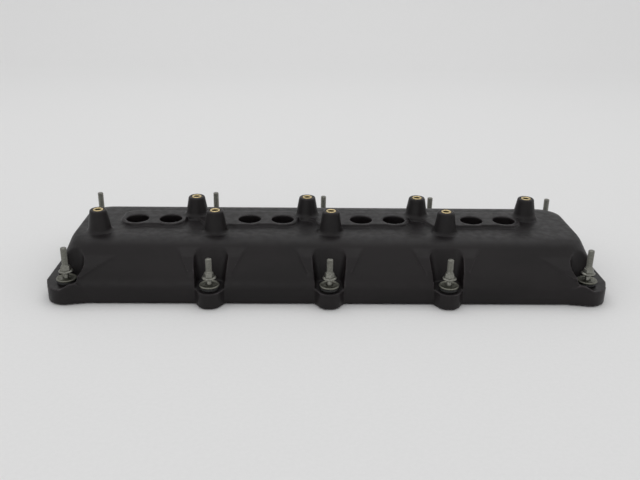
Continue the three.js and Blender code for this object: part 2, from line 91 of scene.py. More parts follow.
def length(name, default, description):
    """A length in metres."""
    return FloatProperty(name=name, description=description, default=default, min=0.0,
                         precision=5, subtype="DISTANCE", unit="LENGTH")


def colour(name, default, description):
    """A colour without alpha."""
    return FloatVectorProperty(name=name, description=description, default=default, size=3,
                               min=0.0, max=1.0, subtype="COLOR")


class RockerBodySizes(bpy.types.PropertyGroup):
    flange_half_width: length("Flange half width", 0.0855, "Middle of the cover to the flange's long edge")
    flange_top: length("Flange top", 0.016, "Height of the flange and of the pocket floors")
    flange_corner: length("Flange corner", 0.024, "Corner radius of the flange")
    end_ledge: length("End ledge", 0.010, "Flange ledge outside each end wall")
    body_corner: length("Body corner", 0.022, "Corner radius of the body")
    skirt_top: length("Skirt top", 0.022, "The lines of the upright skirt and the sloping wall meet here")
    skirt_bend: length("Skirt bend", 0.007, "Height of the soft bend on each side of that line")
    wall_top: length("Wall top", 0.046, "Height where the sloping wall meets the shoulder")
    wall_slope_run: length("Wall slope run", 0.0305, "How far the sloping wall leans in")
    end_draft: length("End draft", 0.008, "How far the end wall leans in")
    shoulder_run: length("Shoulder run", 0.018, "Width of the rounded shoulder along the sides")
    end_shoulder_run: length("End shoulder run", 0.006, "Width of the rounded shoulder at the ends")
    top_height: length("Top height", 0.0513, "Height of the flat top")
    deck_rise: length("Deck rise", 0.003, "Height of the raised deck above the flat top")
    deck_border: length("Deck border", 0.0158, "Deck edge round each plug well")
    deck_back: length("Deck back", 0.024, "Back edge of the deck")
    wall: length("Wall", 0.003, "Thickness of the moulding")
    grain_step: length("Mesh step", 0.001, "Edge length of the moulding's mesh before it is thinned")
    softness: IntProperty(name="Softness", description="Smoothing passes that round the moulded edges",
                          default=2, min=0, max=30)
    thinning: FloatProperty(name="Thinning", description="Share of the faces kept on the moulding",
                            default=0.25, min=0.02, max=1.0, subtype="FACTOR")


class RockerBaySizes(bpy.types.PropertyGroup):
    ear_radius: length("Ear radius", 0.0128, "Radius of the ear round each side stud")
    ear_root_half: length("Ear root", 0.0145, "Half width of an ear where it leaves the skirt")
    pocket_foot_half: length("Pocket half width", 0.013, "Half width of a side pocket at its floor")
    pocket_corner: length("Pocket corner", 0.008, "Corner radius of a side pocket")
    pocket_draft: length("Pocket draft", 0.004, "Extra half width of a pocket at the shoulder")
    pocket_back: length("Pocket back", 0.066, "Back wall of a side pocket at its floor")
    pocket_back_run: length("Pocket back run", 0.010, "How far that wall leans in by the shoulder")
    corner_pocket: length("Corner pocket radius", 0.0155, "Radius of a corner pocket at its floor")
    corner_pocket_draft: length("Corner pocket draft", 0.003, "Extra radius of a corner pocket at the shoulder")
    corner_ear: length("Corner ear radius", 0.018, "Radius of the ear round each corner stud")
    pad_rise: length("Pad rise", 0.0032, "How far the pads stand out of the sloping wall")
    pad_radius: length("Pad radius", 0.015, "The pads' sides run tangent to this round the stud")
    pad_full: length("Pad full height", 0.031, "Height where the side pads stand fully proud")
    pad_fade: length("Pad fade height", 0.040, "Height where the side pads start to fade")
    pad_gone: length("Pad end height", 0.0465, "Height where the side pads are gone")
    pad_flare: FloatProperty(name="Pad flare", description="Spread of a side pad's edges",
                             default=math.radians(28), subtype="ANGLE", unit="ROTATION")
    corner_pad_radius: length("Corner pad radius", 0.0183, "The corner pads' sides run tangent to this")
    corner_pad_full: length("Corner pad full height", 0.027, "Height where the corner pads stand fully proud")
    corner_pad_fade: length("Corner pad fade height", 0.032, "Height where the corner pads start to fade")
    corner_pad_gone: length("Corner pad end height", 0.041, "Height where the corner pads are gone")
    corner_pad_flare: FloatProperty(name="Corner pad flare", description="Slant of a corner pad's edge",
                                    default=math.radians(57), subtype="ANGLE", unit="ROTATION")


class RockerTowerSizes(bpy.types.PropertyGroup):
    top_radius: length("Top radius", 0.00825, "Radius of a coil tower at its top")
    base_radius: length("Base radius", 0.01125, "Radius of a coil tower at its foot")
    foot_fillet: length("Foot fillet", 0.0016, "Fillet round the foot of a coil tower")
    well_wall: length("Well sleeve wall", 0.0032, "Wall of the sleeve round each plug well")
    well_radius: length("Well radius", 0.0113, "Radius of a plug well")
    seal_depth: length("Seal depth", 0.008, "Depth of the seat of a well seal")


class RockerStudSizes(bpy.types.PropertyGroup):
    thread_radius: length("Thread radius", 0.003, "Outside radius of the stud's threads")
    thread_pitch: length("Thread pitch", 0.001, "Pitch of the stud's threads")
    thread_depth: length("Thread depth", 0.0006, "Depth of the stud's threads")
    lower_thread: length("Lower thread", 0.013, "Length of the lower thread")
    shank_radius: length("Shank radius", 0.0024, "Radius of the plain shank")
    seat_height: length("Seat height", 0.0272, "Underside of the collar above the stud's tip")
    collar_radius: length("Collar radius", 0.00675, "Radius of the collar")
    hex_flats: length("Hex across flats", 0.010, "Width of the hexagon across its flats")
    hex_height: length("Hex height", 0.0046, "Height of the hexagon")


class RockerColours(bpy.types.PropertyGroup):
    nylon: colour("Nylon", (0.0080, 0.0064, 0.0068), "Glass-filled nylon of the moulding")
    # Also the colour of the painted sheen on up-facing faces and, much brighter, of the painted edge
    # highlights.
    dust_and_sheen: colour("Dust", (0.0092, 0.0078, 0.0084), "Fine haze on the faces that look up")
    rubber: colour("Rubber", (0.012, 0.012, 0.012), "Rubber of the grommets and seals")
    silicone: colour("Silicone", (0.030, 0.034, 0.042), "Silicone of the gasket")
    zinc: colour("Zinc", (0.22, 0.22, 0.195), "Zinc plating of the studs and screws")
    washer: colour("Washer zinc", (0.19, 0.19, 0.16), "Passivated plating of the sleeves")
    brass: colour("Brass", (0.70, 0.56, 0.30), "Turned brass of the inserts")
    sheet: colour("Sheet steel", (0.50, 0.51, 0.52), "Pressed steel of the baffle")
    floor: colour("Floor", (0.80, 0.80, 0.80), "Studio floor")


# ---------------------------------------------------------------- small fixed sizes, in metres

PAST = 0.001  # how far a tool reaches past the face it cuts or joins
SLIP = 0.0003  # gap between a piece and the seat cut for it
INSIDE_BOX = 0.00005  # keeps a turned rim inside its node's box
STUD_HOLE_RADIUS = 0.008
SCREW_BOSS_RADIUS = 0.0045
SCREW_PILOT_RADIUS = 0.0017
INSERT_SEAT_RADIUS = 0.0053
INSERT_RELIEF_RADIUS = 0.0026
GASKET_WIDTH = 0.004
GASKET_END_INSET = 0.005
GASKET_SIDE_INSET = 0.0026
GASKET_STUD_GAP = 0.0022
GASKET_MESH_STEP = 0.0006
GASKET_SOFTNESS = 3
GASKET_THINNING = 0.25
BAFFLE_SHEET = 0.0012
BAFFLE_SCREW_HOLE = 0.0019
BAFFLE_DRAIN_RADIUS = 0.003

# A stud's hexagon from foot to top: share of its height, share of its width, how blunt its corners are.
HEX_STATIONS = ((0.0, 1.0, 0.0), (0.3, 0.90, 0.0), (0.75, 0.84, 0.2), (0.9, 0.80, 0.6), (1.0, 0.74, 1.0))


# ---------------------------------------------------------------- mesh helpers

def around(radius, angle, z, x=0.0, y=0.0):
    """The point at an angle on a circle."""
    return Vector((x + radius * math.cos(angle), y + radius * math.sin(angle), z))


def rounded_ring(half_x, half_y, corner, z, x=0.0, y=0.0, steps=8):
    """Points of a rounded rectangle at height z, anticlockwise."""
    points = []
    for quarter, (side_x, side_y) in enumerate(((1, 1), (-1, 1), (-1, -1), (1, -1))):
        for step in range(steps + 1):
            angle = (quarter + step / steps) * math.pi / 2
            centre_x = x + side_x * (half_x - corner)
            centre_y = y + side_y * (half_y - corner)
            points.append(around(corner, angle, z, centre_x, centre_y))
    return points


def round_ring(radius, z, segments, x=0.0, y=0.0):
    """Points of a circle at height z, anticlockwise."""
    return [around(radius, 2 * math.pi * i / segments, z, x, y) for i in range(segments)]


def add_skin(mesh, rings, looped=False):
    """Quads through stacked rings, capped at both ends or closed back on the first ring."""
    loops = [[mesh.verts.new(point) for point in points] for points in rings]
    pairs = list(zip(loops, loops[1:]))
    if looped:
        pairs.append((loops[-1], loops[0]))
    for low, high in pairs:
        for i, corner in enumerate(low):
            j = (i + 1) % len(low)
            mesh.faces.new((corner, low[j], high[j], high[i]))
    if not looped:
        mesh.faces.new(list(reversed(loops[0])))
        mesh.faces.new(loops[-1])


def piece(name, mesh):
    """A new object from a bmesh, with its faces turned outwards."""
    bmesh.ops.recalc_face_normals(mesh, faces=mesh.faces)
    data = bpy.data.meshes.new(name)
    mesh.to_mesh(data)
    mesh.free()
    for face in data.polygons:
        face.use_smooth = True
    made = bpy.data.objects.new(name, data)
    bpy.context.scene.collection.objects.link(made)
    return made


def lofted(name, rings):
    """An object whose skin runs through stacked rings."""
    mesh = bmesh.new()
    add_skin(mesh, rings)
    return piece(name, mesh)


def turned(name, profile, segments, x=0.0, y=0.0, looped=False):
    """An object turned from a profile of (radius, height) pairs."""
    mesh = bmesh.new()
    add_skin(mesh, [round_ring(radius, z, segments, x, y) for radius, z in profile], looped)
    return piece(name, mesh)


def disc(radius, low, high, x, y, segments=40):
    """A plain round tool for joining or cutting."""
    return turned("disc", [(radius, low), (radius, high)], segments, x, y)


def discs(radius, low, high, points, segments=40):
    """A plain round tool at each of the points."""
    return [disc(radius, low, high, point.x, point.y, segments) for point in points]


def plate(outline, low, high):
    """A flat tool with the outline's corners, between two heights."""
    return lofted("plate", [[Vector((x, y, z)) for x, y in outline] for z in (low, high)])


def settle(made):
    """Turns an object's modifiers into its own mesh."""
    graph = bpy.context.evaluated_depsgraph_get()
    shaped = bpy.data.meshes.new_from_object(made.evaluated_get(graph))
    made.modifiers.clear()
    edge_highlighted = made.data
    made.data = shaped
    shaped.name = made.name
    bpy.data.meshes.remove(edge_highlighted)


def drop(objects):
    """Removes tools that are no longer wanted."""
    for made in objects:
        data = made.data
        bpy.data.objects.remove(made)
        bpy.data.meshes.remove(data)


def worked(body, tools, operation):
    """Joins, cuts or meets a body with each of the tools, and removes the tools."""
    for tool in tools:
        step = body.modifiers.new("step", "BOOLEAN")
        step.operation = operation
        step.solver = "MANIFOLD"
        step.object = tool
    settle(body)
    drop(tools)
    return body


def moulded(made, mesh_step, passes, kept):
    """Rounds every edge as a moulding or casting has it."""
    remesh = made.modifiers.new("even mesh", "REMESH")
    remesh.mode = "VOXEL"
    remesh.voxel_size = mesh_step
    remesh.use_smooth_shade = True
    soften = made.modifiers.new("soft edges", "SMOOTH")
    soften.factor = 0.5
    soften.iterations = passes
    thin = made.modifiers.new("fewer faces", "DECIMATE")
    thin.ratio = kept
    settle(made)
    for face in made.data.polygons:
        face.use_smooth = True


def kept_inside(made, node):
    """Holds every point of a softened piece inside its frame node's box."""
    low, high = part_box(node)
    hair = 1e-6
    for point in made.data.vertices:
        for axis in range(3):
            point.co[axis] = min(max(point.co[axis], low[axis] + hair), high[axis] - hair)


def finished(made, material, body, slot, *nodes):
    """Gives a piece its material and body, and hides the frame nodes it stands for. The slot is not used."""
    made.data.materials.clear()
    made.data.materials.append(material)
    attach(made, body)
    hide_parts(*nodes)


def turned_at_nodes(start, prefix, profile, segments, material, slot, looped=True):
    """A turned piece at each frame node whose name begins with start."""
    for name in nodes_called(start):
        at = middle(name)
        made = turned(prefix + name, profile, segments, at.x, at.y, looped)
        finished(made, material, "cover", slot, name)


# ---------------------------------------------------------------- materials

class Nodes:
    """A short hand for wiring one material."""

    def __init__(self, name):
        self.material = bpy.data.materials.get(name) or bpy.data.materials.new(name)
        self.material.use_nodes = True
        self.tree = self.material.node_tree
        self.tree.nodes.clear()
        self.shader = self.tree.nodes.new("ShaderNodeBsdfPrincipled")
        output = self.tree.nodes.new("ShaderNodeOutputMaterial")
        self.tree.links.new(self.shader.outputs["BSDF"], output.inputs["Surface"])
        self.place = self.tree.nodes.new("ShaderNodeTexCoord").outputs["Object"]

    def put(self, source, target):
        self.tree.links.new(source, target)

    def node(self, kind, inputs, **settings):
        """A new node with its settings made, and each input wired to a socket or set to a value."""
        made = self.tree.nodes.new("ShaderNode" + kind)
        for name, value in settings.items():
            setattr(made, name, value)
        for name, value in inputs.items():
            if isinstance(value, bpy.types.NodeSocket):
                self.put(value, made.inputs[name])
            else:
                made.inputs[name].default_value = value
        return made

    def noise(self, scale, detail=3.0, roughness=0.5, stretch=None):
        """Cloudy variation with that many cells to the metre."""
        place = self.place
        if stretch:
            place = self.node("Mapping", {"Scale": stretch, "Vector": place}).outputs["Vector"]
        inputs = {"Scale": scale, "Detail": detail, "Roughness": roughness, "Vector": place}
        return self.node("TexNoise", inputs).outputs["Fac"]

    def cells(self, scale):
        """Small pebbled cells."""
        return self.node("TexVoronoi", {"Scale": scale, "Vector": self.place}).outputs["Distance"]

    def rings(self, scale):
        """Fine circles left by turning."""
        inputs = {"Scale": scale, "Distortion": 0.4, "Vector": self.place}
        return self.node("TexWave", inputs, wave_type="RINGS", rings_direction="Z").outputs["Fac"]

    def span(self, source, low, high, out_low, out_high):
        """Maps a value from one range to another and holds it there."""
        inputs = {"From Min": low, "From Max": high, "To Min": out_low, "To Max": out_high, "Value": source}
        return self.node("MapRange", inputs, interpolation_type="SMOOTHSTEP").outputs["Result"]

    def times(self, first, second):
        return self.node("Math", {0: first, 1: second}, operation="MULTIPLY").outputs["Value"]

    def up_part(self, vector):
        """The Z part of a vector."""
        return self.node("SeparateXYZ", {"Vector": vector}).outputs["Z"]

    def facing_up(self):
        """How far a surface looks up, from -1 to 1."""
        return self.up_part(self.node("NewGeometry", {}).outputs["Normal"])

    def height(self):
        """Height above the gasket face, in metres."""
        return self.up_part(self.place)

    def edges(self):
        """High on outside edges and low in corners."""
        return self.node("NewGeometry", {}).outputs["Pointiness"]

    def blend(self, share, first, second):
        """A colour between two, which may be colours or sockets."""
        node = self.node("Mix", {}, data_type="RGBA")
        self.put(share, node.inputs["Factor"])
        ends = [i for i in node.inputs if i.type == "RGBA"]
        for socket, value in zip(ends, (first, second)):
            if isinstance(value, bpy.types.NodeSocket):
                self.put(value, socket)
            else:
                socket.default_value = (*value, 1.0)
        return [o for o in node.outputs if o.type == "RGBA"][0]

    def bump(self, height, depth, strength, before=None):
        """Relief of that depth in metres, on top of any relief before it."""
        inputs = {"Distance": depth, "Strength": strength, "Height": height}
        if before:
            inputs["Normal"] = before
        return self.node("Bump", inputs).outputs["Normal"]

    def wear(self, colour, roughness, normal=None, metallic=0.0):
        """Wires the finished colour, roughness and relief into the shader."""
        self.put(colour, self.shader.inputs["Base Color"])
        self.put(roughness, self.shader.inputs["Roughness"])
        if normal:
            self.put(normal, self.shader.inputs["Normal"])
        self.shader.inputs["Metallic"].default_value = metallic
        return self.material


def scaled(colour_value, factor):
    """A lighter or darker shade of a colour."""
    return tuple(min(1.0, channel * factor) for channel in colour_value)


def nylon_finish(colours):
    """Black glass-filled nylon: fine pebbled grain, cloudy flow marks, a dusty haze with painted sheen on the
    faces that look up, and painted highlights on outside edges.
    """
    n = Nodes("black_nylon")
    flow = n.noise(22.0, 4.0, 0.55, stretch=(0.5, 1.0, 1.0))
    clouds = n.span(flow, 0.35, 0.65, 0.0, 1.0)
    base = n.blend(clouds, scaled(colours.nylon, 0.85), scaled(colours.nylon, 1.25))
    # Faces that look up get a lighter haze: partly a dusty film, partly painted sheen for the light these faces
    # catch.
    up_facing_share = n.span(n.facing_up(), 0.86, 0.99, 0.0, 1.0)
    patchy = n.span(n.noise(60.0, 6.0, 0.6), 0.25, 0.75, 0.45, 1.0)
    dust_and_sheen_haze = n.times(up_facing_share, patchy)
    coloured = n.blend(dust_and_sheen_haze, base, tuple(colours.dust_and_sheen))
    specks = n.span(n.noise(1800.0, 2.0), 0.66, 0.74, 0.0, 0.35)
    speckled = n.blend(specks, coloured, scaled(colours.dust_and_sheen, 1.6))
    # Painted highlight: outside edges are lightened, in patches, to stand in for the thin bright lines light
    # draws along them.
    edge = n.span(n.edges(), 0.515, 0.56, 0.0, 1.0)
    painted_edge_highlight = n.times(edge, n.span(n.noise(90.0, 4.0), 0.35, 0.65, 0.25, 1.0))
    edge_highlighted = n.blend(painted_edge_highlight, speckled, scaled(colours.dust_and_sheen, 5.0))
    roughness = n.span(n.noise(140.0, 4.0), 0.3, 0.7, 0.36, 0.50)
    grain = n.bump(n.noise(2600.0, 3.0, 0.6), 0.00006, 0.35)
    pebbled = n.bump(n.cells(1500.0), 0.00005, 0.25, grain)
    waved = n.bump(flow, 0.0004, 0.25, pebbled)
    n.shader.inputs["Specular IOR Level"].default_value = 0.25
    return n.wear(edge_highlighted, roughness, waved)


def rubber_finish(name, tint):
    """Dull rubber with a faint bloom."""
    n = Nodes(name)
    bloom = n.span(n.noise(420.0, 4.0), 0.4, 0.75, 0.0, 0.6)
    tone = n.blend(bloom, tuple(tint), scaled(tint, 2.4))
    roughness = n.span(n.noise(900.0), 0.3, 0.7, 0.62, 0.82)
    return n.wear(tone, roughness, n.bump(n.noise(2200.0, 4.0), 0.00006, 0.4))


def plated_finish(name, tint):
    """Zinc plating: mottled dull metal with small dark stains."""
    n = Nodes(name)
    mottle = n.span(n.noise(700.0, 5.0, 0.6), 0.3, 0.7, 0.0, 1.0)
    tone = n.blend(mottle, scaled(tint, 0.78), scaled(tint, 1.12))
    stain = n.span(n.noise(260.0, 5.0, 0.65), 0.56, 0.74, 0.0, 0.55)
    stained = n.blend(stain, tone, (tint[0] * 0.42, tint[1] * 0.40, tint[2] * 0.32))
    roughness = n.span(n.noise(1100.0, 3.0), 0.3, 0.7, 0.30, 0.48)
    return n.wear(stained, roughness, n.bump(n.noise(3000.0, 3.0), 0.00004, 0.35), 0.9)


def brass_finish(colours):
    """Turned brass with fine tool lines, slight tarnish, and painted shade that darkens it below the top face
    into the bore.
    """
    n = Nodes("turned_brass")
    tarnish = n.span(n.noise(520.0, 4.0), 0.45, 0.8, 0.0, 0.7)
    bright = n.blend(tarnish, tuple(colours.brass), scaled(colours.brass, 0.62))
    # Painted shade: the brass darkens below the top face, down into the threaded bore.
    face = n.span(n.height(), insert_high.z - 0.0009, insert_high.z - 0.0002, 0.0, 1.0)
    tone = n.blend(n.times(face, face), scaled(colours.brass, 0.10), bright)
    roughness = n.span(n.noise(1500.0), 0.3, 0.7, 0.20, 0.36)
    return n.wear(tone, roughness, n.bump(n.rings(900.0), 0.00003, 0.4), 1.0)


def sheet_finish(colours):
    """Plain pressed sheet with rolling lines and an oily film."""
    n = Nodes("pressed_sheet")
    rolled = n.noise(900.0, 3.0, 0.5, stretch=(0.03, 1.0, 1.0))
    tone = n.blend(n.span(rolled, 0.3, 0.7, 0.0, 1.0), scaled(colours.sheet, 0.85), scaled(colours.sheet, 1.1))
    oily = n.span(n.noise(45.0, 5.0), 0.45, 0.7, 0.0, 0.5)
    filmed = n.blend(oily, tone, (0.30, 0.25, 0.17))
    roughness = n.span(n.noise(120.0, 4.0), 0.3, 0.7, 0.26, 0.44)
    return n.wear(filmed, roughness, n.bump(rolled, 0.00004, 0.3), 1.0)


def floor_finish(colours):
    """Matt studio paper."""
    n = Nodes("studio_paper")
    fibre = n.span(n.noise(300.0, 5.0), 0.3, 0.7, 0.0, 1.0)
    tone = n.blend(fibre, scaled(colours.floor, 0.99), scaled(colours.floor, 1.01))
    return n.wear(tone, n.span(fibre, 0.0, 1.0, 0.70, 0.80))


# ---------------------------------------------------------------- the moulded cover

def on_slope(sizes, z):
    """Half sizes of the body at a height on its sloping wall."""
    share = (z - sizes.skirt_top) / (sizes.wall_top - sizes.skirt_top)
    return Vector((
        shell_high.x - sizes.end_ledge - sizes.end_draft * share,
        sizes.flange_half_width - sizes.wall_slope_run * share,
        z,
    ))


def soft_bend(start, corner, end, steps=8):
    """Points of a curve that leaves start and reaches end along the lines to the corner."""
    shares = [step / steps for step in range(steps + 1)]
    return [start * (1 - t) ** 2 + corner * 2 * t * (1 - t) + end * t * t for t in shares]


def body_rings(sizes):
    """Rings of the body's skin: upright skirt, soft bend, sloping wall, shoulder and flat top."""
    half_x = shell_high.x - sizes.end_ledge
    half_y = sizes.flange_half_width
    skirt = soft_bend(Vector((half_x, half_y, sizes.skirt_top - sizes.skirt_bend)),
                      on_slope(sizes, sizes.skirt_top),
                      on_slope(sizes, sizes.skirt_top + sizes.skirt_bend))
    start = on_slope(sizes, sizes.wall_top)
    end = Vector((start.x - sizes.end_shoulder_run, start.y - sizes.shoulder_run, sizes.top_height))
    shoulder = soft_bend(start, on_slope(sizes, sizes.top_height), end)
    foot = Vector((half_x, half_y, shell_low.z))
    return [rounded_ring(p.x, p.y, sizes.body_corner, p.z) for p in [foot, *skirt, *shoulder]]


def pad_rings(sizes, rise, full, fade, gone):
    """Rings of the pads' skin, which rises out of the sloping wall and sinks back into it."""
    steps = ((sizes.skirt_top, -rise), (full, rise), (fade, rise), (gone, -0.0003))
    points = [(on_slope(sizes, z), out) for z, out in steps]
    return [rounded_ring(p.x, p.y + out, sizes.body_corner, p.z) for p, out in points]


def hollow_rings(sizes):
    """Rings of the hollow, one wall inside the sloping wall and the top."""
    slope = Vector((sizes.wall_top - sizes.skirt_top, sizes.wall_slope_run)).normalized()
    lean = sizes.wall_slope_run / (sizes.wall_top - sizes.skirt_top)
    side_land = 3 * sizes.wall
    end_land = 4.5 * sizes.wall
    foot = sizes.flange_half_width - side_land
    slope_y = sizes.flange_half_width - slope.x * sizes.wall
    slope_z = sizes.skirt_top - slope.y * sizes.wall
    bend_z = slope_z + (slope_y - foot) / lean
    shoulder_z = sizes.wall_top - slope.y * sizes.wall
    shoulder_y = foot - lean * (shoulder_z - bend_z)
    end_foot = shell_high.x - end_land
    end_top = shell_high.x - sizes.end_ledge - sizes.end_draft - sizes.wall
    corner = sizes.body_corner - sizes.wall
    return [
        rounded_ring(end_foot, foot, corner, shell_low.z - 0.001),
        rounded_ring(end_foot - 0.001, foot, corner, bend_z),
        rounded_ring(end_top, shoulder_y, corner, shoulder_z),
        rounded_ring(end_top - sizes.end_shoulder_run / 2, shoulder_y - sizes.shoulder_run / 2,
                     corner, sizes.top_height - sizes.wall),
    ]


def pocket_share(sizes, z):
    """How far a height lies from the pocket floors, 0, to the shoulder, 1."""
    return max(0.0, z - sizes.flange_top) / (sizes.wall_top - sizes.flange_top)


def pocket_heights(sizes, low, high):
    """Heights of a pocket's rings, with one at the floor when it reaches below it."""
    return [low, sizes.flange_top, high] if low < sizes.flange_top else [low, high]


def side_pocket(sizes, bays, stud, grow, low):
    """The tool pocket behind a side stud, or the wall round it when it is grown."""
    high = sizes.top_height + (-sizes.wall / 2 if grow > 0 else sizes.wall)
    front = abs(stud.y) + 2 * bays.ear_radius
    side = math.copysign(1, stud.y)
    rings = []
    for z in pocket_heights(sizes, low, high):
        share = pocket_share(sizes, z)
        back = bays.pocket_back - grow - bays.pocket_back_run * share
        half = bays.pocket_foot_half + grow + bays.pocket_draft * share
        rings.append(rounded_ring(half, (front - back) / 2, bays.pocket_corner, z,
                                  stud.x, side * (front + back) / 2))
    return lofted("pocket", rings)


def corner_pocket(sizes, bays, stud, grow, low, high):
    """The tapered pocket round a corner stud, or the wall round it when it is grown."""
    base = bays.corner_pocket + grow
    profile = [(base + bays.corner_pocket_draft * pocket_share(sizes, z), z)
               for z in pocket_heights(sizes, low, high)]
    return turned("pocket", profile, 56, stud.x, stud.y)


def ear(sizes, bays, stud):
    """The ear that carries a side stud, a rounded tip on a slightly wider root."""
    side = math.copysign(1, stud.y)
    root = sizes.flange_half_width - 0.001
    outline = [(stud.x + bays.ear_root_half, side * root)]
    for step in range(17):
        angle = math.pi * (0.25 + 0.5 * step / 16)
        outline.append((stud.x + bays.ear_radius * math.cos(angle),
                        stud.y + side * bays.ear_radius * math.sin(angle)))
    outline.append((stud.x - bays.ear_root_half, side * root))
    return plate(outline, shell_low.z, sizes.flange_top)


def corner_fence(sizes, bays, stud):
    """The low fence that climbs from the rim of a corner ear to the skirt."""
    side_x = math.copysign(1, stud.x)
    side_y = math.copysign(1, stud.y)
    centre, reach = abs(stud.x), abs(stud.y) + bays.corner_ear
    front, wall = sizes.flange_half_width, sizes.wall
    start = centre - bays.corner_ear - wall
    stations = (
        (start, front, sizes.flange_top - 0.001),
        (start + 3 * wall, front + 0.6 * wall, sizes.skirt_top),
        (centre - 2 * wall, reach - wall / 3, sizes.skirt_top - 0.001),
        (centre, reach, sizes.flange_top + 0.6 * wall),
        (centre + wall, reach, sizes.flange_top),
    )
    inner = front - 2 * wall
    rings = [[Vector((side_x * x, side_y * y, z)) for y, z in
              ((inner, shell_low.z), (outer, shell_low.z), (outer, top), (inner, top))]
             for x, outer, top in stations]
    return lofted("fence", rings)


def side_pad(sizes, bays, stud):
    """The spread of the raised pad on both sides of a pocket."""
    side = math.copysign(1, stud.y)
    front = sizes.flange_half_width
    back = bays.pocket_back - bays.pocket_back_run - sizes.wall

    def half_at(distance):
        return (bays.pad_radius + distance * math.sin(bays.pad_flare)) / math.cos(bays.pad_flare)

    outline = [
        (stud.x - half_at(0), side * front),
        (stud.x + half_at(0), side * front),
        (stud.x + half_at(front - back), side * back),
        (stud.x - half_at(front - back), side * back),
    ]
    return plate(outline, sizes.skirt_top, sizes.top_height)


def corner_pad(sizes, bays, stud):
    """The raised pad between a corner stud and the sloping wall."""
    side_x = math.copysign(1, stud.x)
    side_y = math.copysign(1, stud.y)
    along = Vector((-math.sin(bays.corner_pad_flare), -math.cos(bays.corner_pad_flare)))
    out = Vector((along.y, -along.x))
    start = Vector((abs(stud.x), abs(stud.y))) + out * bays.corner_pad_radius
    half_x = shell_high.x - sizes.end_ledge
    first = start - along * 0.012
    last = start + along * 0.044
    outline = [(first.x, first.y), (half_x, sizes.flange_half_width),
               (half_x, bays.pocket_back / 2), (last.x, last.y)]
    flipped = [(side_x * x, side_y * y) for x, y in outline]
    return plate(flipped, sizes.skirt_top, sizes.top_height)


def well_pairs():
    """The two wells of each cylinder, from left to right."""
    wells = sorted(well_points, key=lambda point: point.x)
    return list(zip(wells[::2], wells[1::2]))


def deck_tools(sizes, towers):
    """The raised deck round the plug wells, which reaches the coil towers between the pairs."""
    low = sizes.top_height - PAST
    high = sizes.top_height + sizes.deck_rise
    border = sizes.deck_border
    back = sizes.deck_back
    tools = discs(border, low, high, well_points, 64)
    rear_towers = sorted((p for p in tower_points if p.y > 0), key=lambda p: p.x)
    front_towers = sorted((p for p in tower_points if p.y < 0), key=lambda p: p.x)
    waist = border - 0.0026
    for i, (left, right) in enumerate(well_pairs()):
        if i == 0:
            outline = [(left.x, -waist), (right.x, -waist), (right.x + border, 0),
                       (right.x + border, back), (left.x - border * 0.6, back),
                       (left.x - border, back * 0.72), (left.x - border, 0)]
        else:
            front = front_towers[i]
            rear = rear_towers[i - 1]
            outline = [
                (front.x - 0.006, front.y + 0.002),
                (front.x + 0.004, front.y + 0.002),
                (front.x + towers.base_radius, 0.001 - border),
                (left.x, -border),
                (left.x + 0.006, -waist),
                (right.x, -waist),
                (right.x + border, 0),
                (right.x + border, back),
                (rear.x, back),
                (rear.x, rear.y - towers.base_radius),
                (rear.x + 0.006, rear.y - towers.base_radius - 0.006),
            ]
        tools.append(plate(outline, low, high))
    return tools + discs(towers.base_radius + towers.foot_fillet, low, high, rear_towers, 48)


def tower(sizes, towers, point):
    """A tapered coil tower with a small fillet at its foot."""
    ground = sizes.top_height + (sizes.deck_rise if point.y > 0 else 0.0)
    foot = towers.base_radius + towers.foot_fillet
    top = insert_high.z - 0.0002
    profile = [
        (foot, sizes.top_height - 0.001),
        (foot, ground + 0.0002),
        (foot - 0.0006, ground + 0.0006),
        (towers.base_radius, ground + 0.0018),
        (towers.top_radius, top - 0.0005),
        (towers.top_radius - 0.0005, top),
    ]
    return turned("tower", profile, 48, point.x, point.y)


def gasket_band(sizes, low, high, grow):
    """The band the gasket fills, which bends round every stud."""
    clear = (grommet_high.x - grommet_low.x) / 2 + GASKET_STUD_GAP

    def ring_plate(inset, side_inset, extra, hole):
        rings = [rounded_ring(shell_high.x - inset + extra, sizes.flange_half_width - side_inset + extra,
                              sizes.flange_corner - inset, z, steps=12) for z in (low, high)]
        holes = discs(hole, low - PAST, high + PAST, stud_points)
        return worked(lofted("band", rings), holes, "DIFFERENCE")

    outer = ring_plate(GASKET_END_INSET, GASKET_SIDE_INSET, grow, clear - grow)
    inner = ring_plate(GASKET_END_INSET + GASKET_WIDTH, GASKET_SIDE_INSET + GASKET_WIDTH, -grow,
                       clear + GASKET_WIDTH + grow)
    half_way = (low + high) / 2
    taller = Matrix.Diagonal((1, 1, 3, 1))
    inner.data.transform(taller @ Matrix.Translation((0, 0, -half_way)))
    inner.data.transform(Matrix.Translation((0, 0, half_way)))
    return worked(outer, [inner], "DIFFERENCE")


